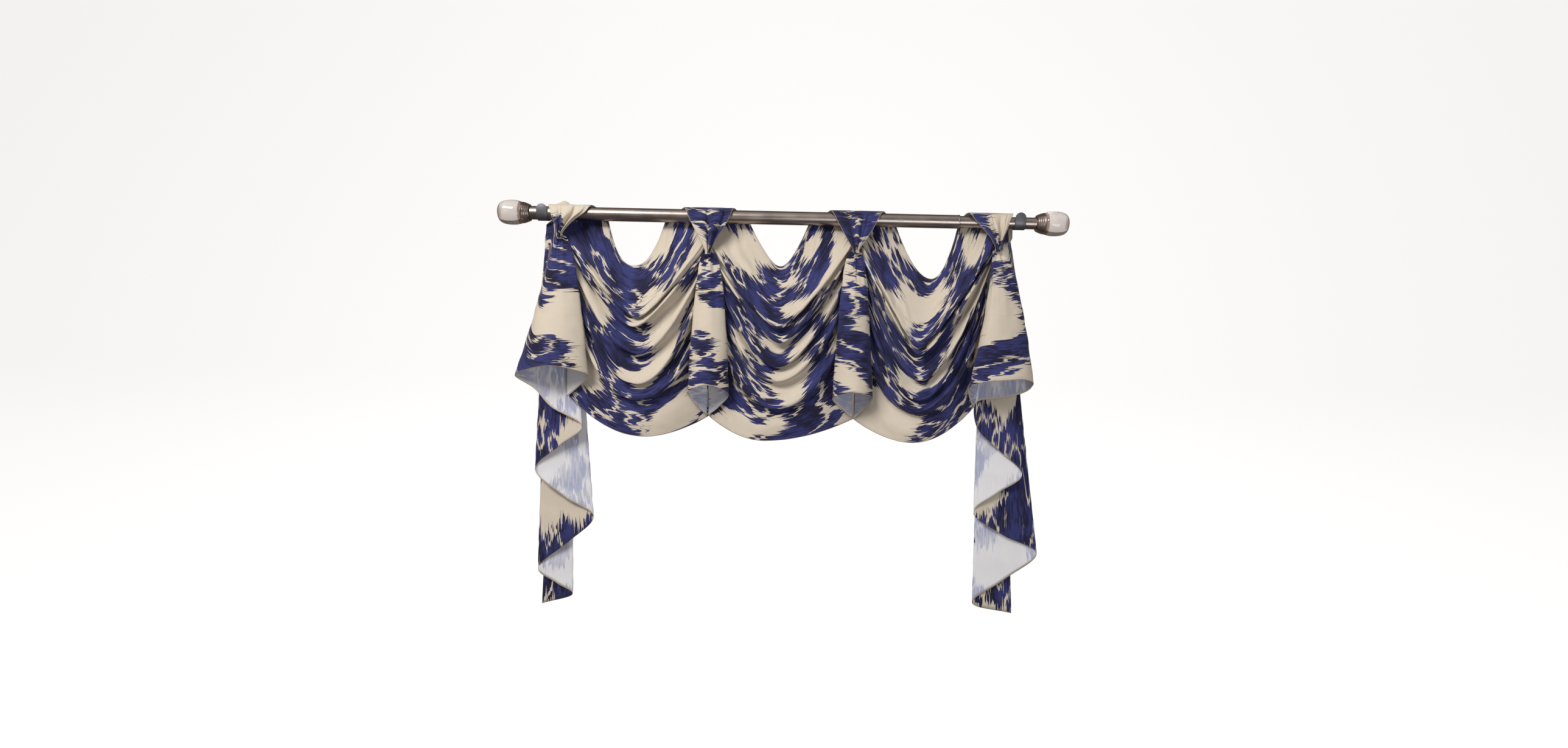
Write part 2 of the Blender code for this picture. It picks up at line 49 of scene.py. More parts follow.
# Swag folds. One row per fold line, from the scooped top edge down to the hem:
# left end x, z, out; lowest point x, z, out; right end x, z, out; belly of the curve;
# fullness of its arms (small stands proud, large is tucked back)
SWAG_LEFT = (
    ("top edge", -335, -3, -15, -280, -97, 4, -224, -3, -15, 2.5, 1.2),
    ("upper slope", -356, -3, -15, -276, -128, 20, -196, -3, -15, 2.0, 1.2),
    ("lower slope", -394, -4, -15, -270, -158, 36, -166, -4, -15, 1.7, 1.1),
    ("under rod", -412, -8, -14, -265, -184, 48, -144, -18, -13, 1.35, 0.9),
    ("ridge 1", -421, -30, 2, -262, -197, 52, -142, -50, 6, 1.2, 0.8),
    ("trough 1", -419, -38, -1, -262, -188, 30, -141, -57, 4, 1.2, 1.5),
    ("ridge 2", -414, -46, 2, -270, -214, 50, -141, -65, 7, 1.3, 0.85),
    ("trough 2", -412, -53, 0, -264, -212, 26, -141, -74, 4, 1.45, 2.0),
    ("ridge 3", -410, -63, 2, -262, -262, 46, -142, -86, 6, 1.75, 0.95),
    ("trough 3", -407, -78, 1, -262, -264, 27, -143, -102, 3, 1.85, 2.2),
    ("ridge 4", -404, -98, 3, -262, -318, 48, -142, -126, 5, 1.95, 1.0),
    ("trough 4", -402, -124, 3, -262, -312, 30, -141, -160, 3, 2.0, 2.2),
    ("ridge 5", -401, -160, 3, -262, -346, 47, -139, -205, 2, 2.05, 1.1),
    ("trough 5", -399, -215, 1, -258, -352, 33, -137, -255, 0, 2.1, 1.8),
    ("lower fall", -397, -285, 3, -254, -388, 38, -134, -318, -2, 2.0, 1.4),
    ("hem", -396, -347, 5, -250, -417, 35, -131, -377, -6, 1.9, 1.3),
)
SWAG_CENTRE = (
    ("top edge", -65, -3, -15, -2, -92, 4, 52, -3, -15, 1.35, 1.2),
    ("upper slope", -88, -3, -15, -4, -126, 20, 80, -3, -15, 1.45, 1.2),
    ("lower slope", -114, -4, -15, -5, -160, 36, 112, -4, -15, 1.4, 1.1),
    ("under rod", -132, -17, -13, -5, -190, 47, 134, -17, -13, 1.35, 0.9),
    ("ridge 1", -137, -50, 5, -5, -213, 51, 134, -44, 6, 1.2, 0.8),
    ("trough 1", -137, -57, 3, -3, -205, 30, 135, -50, 4, 1.2, 1.5),
    ("ridge 2", -137, -65, 5, 0, -238, 52, 135, -58, 7, 1.25, 0.85),
    ("trough 2", -136, -74, 3, -2, -232, 26, 135, -67, 4, 1.4, 2.0),
    ("ridge 3", -134, -86, 5, -5, -282, 49, 135, -78, 6, 1.65, 0.95),
    ("trough 3", -131, -102, 3, -5, -276, 28, 135, -92, 3, 1.75, 2.2),
    ("ridge 4", -131, -124, 5, -5, -308, 46, 136, -114, 5, 1.9, 1.0),
    ("trough 4", -130, -154, 3, -5, -314, 29, 136, -142, 3, 2.0, 2.2),
    ("ridge 5", -130, -195, 3, -6, -357, 46, 137, -182, 3, 2.0, 1.1),
    ("trough 5", -130, -248, 1, -10, -362, 33, 139, -238, 0, 2.1, 1.8),
    ("lower fall", -131, -315, -1, -18, -394, 38, 141, -312, -3, 2.0, 1.4),
    ("hem", -133, -378, -2, -28, -420, 35, 143, -378, -6, 1.9, 1.3),
)
SWAG_RIGHT = (
    ("top edge", 216, -3, -15, 283, -110, 4, 336, -3, -15, 1.9, 1.2),
    ("upper slope", 196, -3, -15, 276, -140, 20, 356, -3, -15, 1.7, 1.2),
    ("lower slope", 168, -4, -15, 268, -174, 36, 376, -4, -15, 1.5, 1.1),
    ("under rod", 148, -17, -13, 260, -208, 46, 391, -9, -14, 1.3, 0.9),
    ("ridge 1", 142, -44, 6, 255, -241, 52, 403, -38, 4, 1.1, 0.75),
    ("trough 1", 142, -50, 4, 256, -230, 30, 404, -45, 2, 1.1, 1.5),
    ("ridge 2", 143, -58, 7, 255, -254, 54, 404, -52, 4, 1.15, 0.85),
    ("trough 2", 143, -67, 4, 256, -250, 26, 402, -61, 2, 1.35, 2.0),
    ("ridge 3", 144, -78, 6, 258, -300, 49, 399, -72, 4, 1.55, 0.95),
    ("trough 3", 145, -92, 3, 258, -298, 28, 396, -87, 2, 1.7, 2.2),
    ("ridge 4", 145, -114, 5, 257, -338, 46, 390, -108, 4, 1.8, 1.0),
    ("trough 4", 146, -142, 3, 256, -334, 30, 389, -136, 3, 1.9, 2.2),
    ("ridge 5", 145, -182, 3, 254, -360, 45, 387, -172, 3, 2.0, 1.1),
    ("trough 5", 144, -238, 1, 252, -370, 34, 383, -222, 1, 2.1, 1.8),
    ("lower fall", 142, -312, -1, 250, -396, 39, 377, -288, -1, 2.0, 1.4),
    ("hem", 141, -378, -2, 247, -418, 36, 370, -352, -3, 1.9, 1.3),
)

# Horns and tails. One row per line running from the gather down to the hem:
# top x, z, out; hem x, z, out; flare (under 1 spreads early)
HORN_CENTRE_LEFT = (
    ("left seam edge", -140, -76, 12.5, -136, -377, 2, 1.0),
    ("left back wall", -143, -75, 16, -152, -360, 18, 0.7),
    ("left corner", -146, -73, 19, -167, -337, 37, 0.36),
    ("front left", -143, -71, 21.5, -154, -325, 56, 0.6),
    ("front", -138, -70, 22.5, -130, -319, 63, 1.0),
    ("front right", -134, -71, 22.5, -108, -325, 56, 0.45),
    ("right corner", -131, -73, 21, -94, -338, 37, 0.36),
    ("right back wall", -134, -75, 17, -112, -360, 18, 0.6),
    ("right seam edge", -137, -76, 12.5, -133, -377, 2, 1.0),
)
HORN_CENTRE_RIGHT = (
    ("left seam edge", 137, -68, 12.5, 138.5, -377, 2, 1.0),
    ("left back wall", 134, -67, 16, 120, -361, 18, 0.7),
    ("left corner", 130, -65, 19, 98, -341, 37, 0.42),
    ("front left", 133, -63, 21.5, 112, -333, 56, 0.6),
    ("front", 138, -62, 22.5, 138, -329, 63, 1.0),
    ("front right", 143, -63, 21.5, 163, -332, 56, 0.6),
    ("right corner", 147, -65, 19, 175, -337, 37, 0.5),
    ("right back wall", 144, -67, 16, 160, -358, 18, 0.7),
    ("right seam edge", 140, -68, 12.5, 143.5, -377, 2, 1.0),
)
TAIL_LEFT = (
    ("seam edge", -411, -50, 12.5, -399, -347, 9, 1.0),
    ("inner back wall", -409, -49, 15, -373, -326, 23, 0.9),
    ("inner corner", -407, -47, 19, -352, -307, 39, 0.6),
    ("front inner", -410, -45, 21, -374, -297, 56, 0.6),
    ("front", -415, -44, 20, -414, -290, 63, 0.9),
    ("front outer", -420, -44, 19, -458, -296, 54, 0.7),
    ("outer corner", -436, -17, -6, -491, -309, 32, 1.5),
    ("side", -452, -19, -14, -460, -333, 14, 1.8),
    ("back wall", -432, -4, -17, -430, -368, 4, 1.0),
    ("fold 1", -408, -4, -19, -373, -404, -3, 1.0),
    ("panel 2", -424, -4, -22, -418, -443, -10, 1.0),
    ("fold 2", -441, -4, -25, -465, -490, -17, 0.5),
    ("panel 3", -424, -4, -28, -408, -543, -24, 1.0),
    ("fold 3", -408, -4, -31, -354, -580, -30, 1.0),
    ("panel 4", -424, -4, -34, -402, -630, -36, 1.0),
    ("fold 4", -441, -4, -37, -463, -683, -42, 0.3),
    ("panel 5", -424, -4, -40, -428, -714, -46, 1.0),
    ("fold 5", -408, -4, -43, -397, -737, -50, 1.0),
    ("free edge", -436, -4, -46, -458, -757, -55, 1.0),
)
TAIL_RIGHT = (
    ("seam edge", 399, -58, 12.5, 370, -352, 2, 1.0),
    ("inner back wall", 397, -57, 14, 357, -337, 20, 1.2),
    ("inner corner", 395, -56, 16, 350, -317, 38, 1.4),
    ("front inner", 398, -54, 19, 371, -304, 56, 1.2),
    ("front", 402, -53, 20, 410, -299, 63, 0.9),
    ("front outer", 407, -53, 19, 450, -297, 52, 0.6),
    ("outer corner", 413, -51, 14, 471, -305, 31, 0.55),
    ("side", 433, -4, -16, 462, -320, 15, 0.9),
    ("back wall", 424, -4, -17, 424, -333, 5, 1.0),
    ("fold 1 upper", 398, -4, -19, 375, -343, -5, 1.0),
    ("fold 1 lower", 400, -4, -20, 381, -394, -9, 1.0),
    ("panel 2", 416, -4, -22, 424, -434, -13, 1.0),
    ("fold 2", 433, -4, -25, 470, -480, -18, 0.6),
    ("panel 3", 416, -4, -28, 424, -518, -24, 1.0),
    ("fold 3", 398, -4, -31, 381, -558, -30, 0.5),
    ("panel 4", 416, -4, -34, 442, -601, -36, 1.0),
    ("fold 4", 433, -4, -37, 509, -636, -41, 1.1),
    ("panel 5", 416, -4, -40, 446, -690, -46, 1.0),
    ("fold 5", 398, -4, -43, 387, -737, -50, 0.5),
    ("free edge", 428, -4, -46, 466, -757, -55, 1.0),
)

# Tabs. One row per line across the strap, from behind the rod over it and down to the pinch:
# left x, right x, z, out, depth of the pleats
TAB_1 = (
    ("back", -441, -345, 1.5, -16.0, 0.0),
    ("back top", -443, -353, 12.0, -11.0, 0.3),
    ("top", -444, -361, 16.4, 0.0, 0.6),
    ("front top", -441, -364, 11.8, 11.4, 0.8),
    ("front", -436, -371, 0.0, 17.0, 1.4),
    ("upper fall", -430, -388, -15.0, 20.6, 2.6),
    ("lower fall", -423, -400, -28.0, 23.3, 3.2),
    ("pinch", -420, -409, -41.0, 24.8, 2.2),
    ("tip", -419, -410, -50.0, 27.0, 1.6),
)
TAB_2 = (
    ("back", -208, -80, 1.5, -16.0, 0.0),
    ("back top", -198, -86, 12.0, -11.0, 0.3),
    ("top", -187, -92, 16.4, 0.0, 0.6),
    ("front top", -184, -94, 11.8, 11.4, 0.8),
    ("front", -179, -98, 0.0, 17.0, 1.4),
    ("upper fall", -168, -108, -22.0, 20.6, 2.6),
    ("lower fall", -155, -122, -45.0, 23.3, 3.2),
    ("pinch", -144, -132, -68.0, 25.4, 2.2),
    ("tip", -143, -133, -76.0, 28.4, 1.6),
)
TAB_3 = (
    ("back", 74, 204, 1.5, -16.0, 0.0),
    ("back top", 82, 199, 12.0, -11.0, 0.3),
    ("top", 90, 192, 16.4, 0.0, 0.6),
    ("front top", 93, 187, 11.8, 11.4, 0.8),
    ("front", 99, 180, 0.0, 17.0, 1.4),
    ("upper fall", 109, 170, -20.0, 20.6, 2.6),
    ("lower fall", 120, 158, -40.0, 23.3, 3.2),
    ("pinch", 131, 145, -60.0, 25.4, 2.2),
    ("tip", 132, 144, -68.0, 28.4, 1.6),
)
TAB_4 = (
    ("back", 340, 433, 1.5, -16.0, 0.0),
    ("back top", 345, 435, 12.5, -11.5, 0.3),
    ("top", 351, 436, 17.4, 0.0, 0.6),
    ("front top", 354, 433, 12.4, 11.8, 0.8),
    ("front", 361, 426, 0.0, 17.4, 1.4),
    ("upper fall", 375, 420, -17.0, 21.0, 2.6),
    ("lower fall", 388, 412, -34.0, 23.5, 3.2),
    ("pinch", 396, 407, -50.0, 24.8, 2.2),
    ("tip", 397, 406, -59.0, 27.0, 1.6),
)

# Small creases pressed into the swags, as seen from the front:
# from x, z; to x, z; height (below zero is a trough); half width
CREASES = (
    ("left swag, upper left", -300, -180, -256, -200, -1.6, 3.5),
    ("left swag, left arm", -362, -84, -306, -172, -1.8, 4.0),
    ("left swag, left arm ridge", -352, -100, -290, -188, 1.6, 4.5),
    ("left swag, right arm", -250, -190, -198, -124, -1.8, 3.5),
    ("left swag, centre", -256, -196, -250, -212, -1.2, 2.5),
    ("left swag, low left", -312, -300, -268, -322, -1.6, 4.0),
    ("left swag, low centre", -290, -340, -232, -341, -1.8, 3.0),
    ("centre swag, left arm", -92, -74, -52, -160, -1.8, 4.0),
    ("centre swag, left ridge", -76, -70, -44, -150, 1.8, 5.0),
    ("centre swag, right arm", 24, -214, 70, -150, -1.6, 3.5),
    ("centre swag, middle", -26, -222, 20, -224, -1.4, 3.0),
    ("centre swag, low left", -88, -214, -44, -268, -1.6, 4.0),
    ("centre swag, low centre", -38, -342, 12, -354, -1.6, 3.5),
    ("centre swag, above hem", -40, -380, 18, -386, -1.2, 3.0),
    ("right swag, left arm", 182, -88, 214, -168, -1.8, 4.0),
    ("right swag, left ridge", 196, -100, 240, -214, 1.8, 5.0),
    ("right swag, right arm", 296, -208, 356, -116, -1.8, 4.0),
    ("right swag, middle", 232, -258, 278, -258, -1.2, 3.0),
    ("right swag, low left", 214, -262, 248, -292, -1.6, 3.5),
    ("right swag, low right", 276, -292, 306, -254, -1.4, 3.5),
)
# Pleats of each tab, fanning out from its pinch: share of the width, height, half width as a share
TAB_PLEATS = {
    "tab_1": (
        (0.08, 2.4, 0.10),
        (0.26, -4.2, 0.06),
        (0.46, 4.6, 0.12),
        (0.67, -3.8, 0.06),
        (0.86, 3.6, 0.09),
    ),
    "tab_2": (
        (0.20, 3.2, 0.16),
        (0.46, -3.6, 0.06),
        (0.66, 4.2, 0.11),
        (0.84, -3.2, 0.05),
        (0.95, 1.6, 0.06),
    ),
    "tab_3": (
        (0.14, 3.2, 0.12),
        (0.32, -3.8, 0.06),
        (0.50, 4.0, 0.10),
        (0.64, -2.8, 0.05),
        (0.80, 3.6, 0.12),
    ),
    "tab_4": (
        (0.14, 3.0, 0.12),
        (0.38, -3.6, 0.06),
        (0.56, 4.2, 0.10),
        (0.74, -3.6, 0.06),
        (0.90, 3.0, 0.08),
    ),
}
# Laps, where a tab's cloth rises to a fold and drops behind it: shares of the width, rise
TAB_LAPS = {
    "tab_1": ((0.00, 0.28, 3.0), (0.32, 0.60, 2.8), (0.62, 0.88, 2.8)),
    "tab_2": ((0.10, 0.42, 2.8), (0.48, 0.80, 3.0)),
    "tab_3": ((0.05, 0.36, 2.6), (0.42, 0.70, 3.0)),
    "tab_4": ((0.14, 0.46, 3.0), (0.54, 0.84, 2.6)),
}

# Puffs, where a tab stands off the rod's top behind: share of the width, half width, rise
TAB_PUFFS = {
    "tab_1": (0.31, 0.13, 11.0),
    "tab_2": (0.60, 0.22, 1.6),
    "tab_3": (0.35, 0.20, 1.4),
    "tab_4": (0.45, 0.30, 2.6),
}

# ---------------------------------------------------------------- camera and light
# Metres from the middle of the rod, degrees, and the lens and sensor in millimetres
CAMERA_DISTANCE = 1.45
CAMERA_SIDE = 0.0086
CAMERA_HEIGHT = -0.2956
CAMERA_ROLL = -1.23
CAMERA_LENS = 17.55
SENSOR_WIDTH = 36.0

# The room is brightest high up in front, and browner behind and below, so that tubes show bands.
ROOM_STRENGTH = 0.46
ROOM_LOW = (0.25, 0.215, 0.195, 1)
ROOM_MIDDLE = (0.46, 0.44, 0.43, 1)
ROOM_HIGH = (1.2, 1.18, 1.15, 1)
ROOM_BEHIND = (0.22, 0.17, 0.15, 1)
# Dark flags to the left and right give tubes, glass and folds darker sides.
ROOM_FLAGS = (0.10, 0.075, 0.065, 1)
# The room behind lights the cloth's back softly, and past the floor's edges it looks pale.
ROOM_GLOW = (1.05, 1.03, 1.0, 1)
ROOM_PALE = (2.05, 2.05, 2.05, 1)

# Lights: name, place, width, depth, watts, colour
LIGHTS = (
    ("Key", (-1.35, -1.9, 1.25), 1.5, 0.6, 66.0, (1.0, 0.98, 0.95)),
    ("Fill", (0.9, -2.3, -0.9), 1.4, 1.0, 19.0, (0.92, 0.94, 0.98)),
)
LIGHTS_AIM = (0, -0.1, -0.35)

# The floor, in metres, and the bend where it turns up into the backdrop
FLOOR_HEIGHT = -1.9
FLOOR_FRONT = -4.5
FLOOR_BACK = 3.0
FLOOR_HALF_WIDTH = 9.0
BEND_RADIUS = 1.6
BEND_STEPS = 12
BACKDROP_TOP = 4.2
FLOOR_COLOUR = (0.93, 0.93, 0.93, 1.0)
FLOOR_GLOW = 0.67
FLOOR_ROUGHNESS = 0.9


def make_camera():
    data = bpy.data.cameras.new("Camera")
    data.sensor_width = SENSOR_WIDTH
    data.lens = CAMERA_LENS
    data.clip_start = 0.05
    data.clip_end = 60.0
    camera = bpy.data.objects.new("Camera", data)
    bpy.context.scene.collection.objects.link(camera)
    camera.location = (CAMERA_SIDE, -(ROD_FROM_WALL * MM + CAMERA_DISTANCE), CAMERA_HEIGHT)
    camera.rotation_euler = (math.radians(90), math.radians(CAMERA_ROLL), 0.0)
    bpy.context.scene.camera = camera


def soft_light(name, place, wide, deep, watts, colour):
    data = bpy.data.lights.new(name, "AREA")
    data.shape = "RECTANGLE"
    data.size = wide
    data.size_y = deep
    data.energy = watts
    data.color = colour
    light = bpy.data.objects.new(name, data)
    bpy.context.scene.collection.objects.link(light)
    light.location = place
    towards = Vector(LIGHTS_AIM) - Vector(place)
    light.rotation_euler = towards.to_track_quat("-Z", "Y").to_euler()


def make_room():
    world = bpy.data.worlds.new("Studio")
    bpy.context.scene.world = world
    world.use_nodes = True
    nodes, links = world.node_tree.nodes, world.node_tree.links
    nodes.clear()
    out = nodes.new("ShaderNodeOutputWorld")
    back = nodes.new("ShaderNodeBackground")
    w = Wiring(world.node_tree)
    place = nodes.new("ShaderNodeTexCoord").outputs["Generated"]
    way = w.node("ShaderNodeSeparateXYZ", Vector=place)
    aside = w.maths("ABSOLUTE", way.outputs[0])
    depth, height = way.outputs[1], way.outputs[2]
    colour = w.blend(w.between(height, -0.7, 0.2), ROOM_LOW, ROOM_MIDDLE)
    colour = w.blend(w.between(height, 0.45, 0.72), colour, ROOM_HIGH)
    colour = w.blend(w.between(depth, -0.08, 0.16), colour, ROOM_BEHIND)
    colour = w.blend(w.between(aside, 0.80, 0.93), colour, ROOM_FLAGS)
    path = nodes.new("ShaderNodeLightPath").outputs
    behind = w.maths("MULTIPLY", path["Is Diffuse Ray"], w.between(depth, 0.30, 0.60))
    colour = w.blend(behind, colour, ROOM_GLOW)
    colour = w.blend(path["Is Camera Ray"], colour, ROOM_PALE)
    links.new(colour, back.inputs["Color"])
    back.inputs["Strength"].default_value = ROOM_STRENGTH
    links.new(back.outputs[0], out.inputs["Surface"])


def make_floor():
    """A pale floor that turns up into a backdrop a long way behind."""
    outline = [(FLOOR_FRONT, FLOOR_HEIGHT), (FLOOR_BACK, FLOOR_HEIGHT)]
    for i in range(1, BEND_STEPS + 1):
        turn = math.radians(-90 + 90 * i / BEND_STEPS)
        across = FLOOR_BACK + BEND_RADIUS * math.cos(turn)
        outline.append((across, FLOOR_HEIGHT + BEND_RADIUS + BEND_RADIUS * math.sin(turn)))
    outline.append((FLOOR_BACK + BEND_RADIUS, BACKDROP_TOP))
    points = [(x, y, z) for y, z in outline for x in (-FLOOR_HALF_WIDTH, FLOOR_HALF_WIDTH)]
    faces = [(2 * i, 2 * i + 1, 2 * i + 3, 2 * i + 2) for i in range(len(outline) - 1)]
    mesh = bpy.data.meshes.new("Floor")
    mesh.from_pydata(points, [], faces)
    for face in mesh.polygons:
        face.use_smooth = True
    floor = bpy.data.objects.new("Floor", mesh)
    bpy.context.scene.collection.objects.link(floor)
    pale = bpy.data.materials.new("Pale floor")
    pale.use_nodes = True
    shader = pale.node_tree.nodes["Principled BSDF"]
    shader.inputs["Base Color"].default_value = FLOOR_COLOUR
    shader.inputs["Emission Color"].default_value = (1.0, 1.0, 1.0, 1.0)
    shader.inputs["Emission Strength"].default_value = FLOOR_GLOW
    shader.inputs["Roughness"].default_value = FLOOR_ROUGHNESS
    mesh.materials.append(pale)
    floor.visible_glossy = False
    floor.visible_diffuse = False


def make_studio():
    bpy.context.scene.view_settings.view_transform = "Standard"
    make_room()
    for light in LIGHTS:
        soft_light(*light)
    make_floor()


# ---------------------------------------------------------------- materials
# Each pair is the darker and the lighter colour of one tone.
CREAM = ((0.55, 0.475, 0.38, 1), (0.63, 0.555, 0.455, 1))
NAVY = ((0.007, 0.006, 0.028, 1), (0.031, 0.035, 0.142, 1))
WRONG_SIDE_GROUND = ((0.665, 0.655, 0.672, 1), (0.765, 0.757, 0.775, 1))
WRONG_SIDE_PRINT = ((0.17, 0.19, 0.36, 1), (0.42, 0.44, 0.60, 1))
TURNED_HEM = (0.60, 0.53, 0.43, 1)
STITCHES = (0.20, 0.17, 0.20, 1)
HEM_FOLD = (0.40, 0.33, 0.25, 1)
BRUSHED_NICKEL = ((0.33, 0.275, 0.245, 1), (0.42, 0.36, 0.325, 1))
# The collars' nickel is the rod's nickel painted lighter: a painted highlight for the light their
# rings catch.
COLLAR_NICKEL_PAINTED_LIGHTER = ((0.52, 0.45, 0.41, 1), (0.64, 0.57, 0.53, 1))
GREY_STEEL = ((0.10, 0.10, 0.11, 1), (0.15, 0.15, 0.17, 1))
# The glass's colours are painted refraction: a beige body for the pale wall seen through it, and
# brown rings for the darker room at its ends.
GLASS_PAINTED_WALL_REFRACTION = (0.74, 0.68, 0.64, 1)
GLASS_PAINTED_ROOM_REFRACTION = (0.22, 0.13, 0.10, 1)

# The print's noises: waves in a metre along the threads, and across them
BUNDLES = (5.0, 140.0)
THREADS = (9.0, 560.0)
BLOTCHES = (8.2, 10.5)
MARK_RINGS = (19.0, 34.0)
MARK_GAPS = (10.0, 17.0)
MOTTLE = (34.0, 230.0)
CLOUDS = (16.0, 24.0)
# How far, in metres, bundles and single threads slip, and the marks' share of that
BUNDLE_SLIP = 0.036
THREAD_SLIP = 0.15
MARK_SLIP = 0.75

# Weave and stitches: pitches and bump in metres, slubs in waves a metre, and how deep the
# stitches press in, against the slubs' height
WEAVE_PITCH = 0.0009
SLUBS = 420.0
STITCH_PITCH = 0.003
STITCH_DEPTH = 1.2
CLOTH_BUMP = 0.0004

# Painted glass rings, which stand in for the darker room seen through the glass: how far from the
# rod's middle each starts and is full, in metres
GLASS_CENTRE = 0.001
CAP_PAINTED_RING = (0.5322, 0.5342)
SEAT_PAINTED_RING = (0.4995, 0.4975)


def group(name, takes, gives):
    made = bpy.data.node_groups.new(name, "ShaderNodeTree")
    for label, kind, value in takes:
        socket = made.interface.new_socket(label, in_out="INPUT", socket_type=kind)
        if value is not None:
            socket.default_value = value
    for label, kind in gives:
        made.interface.new_socket(label, in_out="OUTPUT", socket_type=kind)
    return made, made.nodes.new("NodeGroupInput"), made.nodes.new("NodeGroupOutput")


class Wiring:
    """Short names for the nodes of one tree."""

    def __init__(self, tree):
        self.tree = tree

    def node(self, kind, **inputs):
        made = self.tree.nodes.new(kind)
        self.feed(made, inputs)
        return made

    def feed(self, made, inputs):
        for label, value in inputs.items():
            socket = made.inputs[int(label[1:])] if label[0] == "_" else made.inputs[label]
            if isinstance(value, bpy.types.NodeSocket):
                self.tree.links.new(value, socket)
            else:
                socket.default_value = value

    def maths(self, operation, a, b=0.0):
        made = self.tree.nodes.new("ShaderNodeMath")
        made.operation = operation
        self.feed(made, {"_0": a, "_1": b})
        return made.outputs[0]

    def flat_noise(self, place, scale, detail, rough=0.5):
        made = self.tree.nodes.new("ShaderNodeTexNoise")
        made.noise_dimensions = "2D"
        self.feed(made, {"Vector": place, "Scale": scale, "Detail": detail, "Roughness": rough})
        return made.outputs[0]

    def solid_noise(self, place, scale, detail):
        made = self.node("ShaderNodeTexNoise", Vector=place, Scale=scale, Detail=detail)
        return made.outputs[0]

    def between(self, value, low, high, to_low=0.0, to_high=1.0):
        made = self.tree.nodes.new("ShaderNodeMapRange")
        made.interpolation_type = "SMOOTHSTEP"
        limits = {"From Min": low, "From Max": high, "To Min": to_low, "To Max": to_high}
        self.feed(made, {"Value": value, **limits})
        return made.outputs[0]

    def blend(self, share, a, b):
        made = self.tree.nodes.new("ShaderNodeMix")
        made.data_type = "RGBA"
        self.feed(made, {"_0": share, "_6": a, "_7": b})
        return made.outputs[2]


def new_material(name):
    made = bpy.data.materials.new(name)
    made.use_nodes = True
    tree = made.node_tree
    return made, tree, Wiring(tree), tree.nodes["Principled BSDF"]


def ikat_group():
    """A generic ikat: frayed navy blotches on cream, with short frayed cream marks inside them."""
    made, entry, leave = group(
        "Ikat print",
        [("Flat place", "NodeSocketVector", None), ("Offset", "NodeSocketFloat", 0.0)],
        [("Print", "NodeSocketFloat"), ("Mottle", "NodeSocketFloat")],
    )
    w = Wiring(made)
    apart = w.node("ShaderNodeSeparateXYZ", Vector=entry.outputs["Flat place"])
    along = apart.outputs[0]
    across = w.maths("ADD", apart.outputs[1], entry.outputs["Offset"])

    def seen(waves, x=along, detail=0.0, rough=0.5):
        place = w.node(
            "ShaderNodeCombineXYZ",
            _0=w.maths("MULTIPLY", x, waves[0]),
            _1=w.maths("MULTIPLY", across, waves[1]),
        )
        return w.flat_noise(place.outputs[0], 1.0, detail, rough)

    # Bundles of threads slip along their length, each by its own amount, so that edges fray.
    bundle = w.maths("SUBTRACT", seen(BUNDLES), 0.5)
    thread = w.maths("SUBTRACT", seen(THREADS), 0.5)
    needle = w.maths("MULTIPLY", thread, w.maths("ABSOLUTE", thread))
    slip = w.maths(
        "ADD", w.maths("MULTIPLY", bundle, BUNDLE_SLIP), w.maths("MULTIPLY", needle, THREAD_SLIP)
    )
    slipped = w.maths("ADD", along, slip)
    blotches = w.between(seen(BLOTCHES, slipped, 0.8, 0.45), 0.434, 0.444)
    # Cream marks: narrow rings of a finer noise, broken up by a third one.
    part = w.maths("ADD", along, w.maths("MULTIPLY", slip, MARK_SLIP))
    ring = w.maths("ABSOLUTE", w.maths("SUBTRACT", seen(MARK_RINGS, part), 0.5))
    rings = w.between(ring, 0.042, 0.056)
    gaps = w.between(seen(MARK_GAPS, part), 0.54, 0.58)
    ink = w.maths("MULTIPLY", blotches, w.maths("MAXIMUM", rings, gaps))
    # Uneven dye: fine streaks along the threads and broader clouds, in equal shares.
    streaks = w.maths("MULTIPLY", seen(MOTTLE, along, 3.0, 0.6), 0.5)
    clouds = w.maths("MULTIPLY", seen(CLOUDS, along, 2.0, 0.55), 0.5)
    made.links.new(ink, leave.inputs["Print"])
    made.links.new(w.maths("ADD", streaks, clouds), leave.inputs["Mottle"])
    return made


def weave_group():
    """Height of a fine plain weave with small slubs, from flat-cloth metres."""
    made, entry, leave = group(
        "Plain weave", [("Flat place", "NodeSocketVector", None)], [("Height", "NodeSocketFloat")]
    )
    w = Wiring(made)
    apart = w.node("ShaderNodeSeparateXYZ", Vector=entry.outputs["Flat place"])
    turn = 2 * math.pi / WEAVE_PITCH
    warp = w.maths("SINE", w.maths("MULTIPLY", apart.outputs[0], turn))
    weft = w.maths("SINE", w.maths("MULTIPLY", apart.outputs[1], turn))
    slub = w.flat_noise(entry.outputs["Flat place"], SLUBS, 2.0)
    threads = w.maths("MULTIPLY", w.maths("MULTIPLY", warp, weft), 0.25)
    made.links.new(w.maths("ADD", threads, slub), leave.inputs["Height"])
    return made


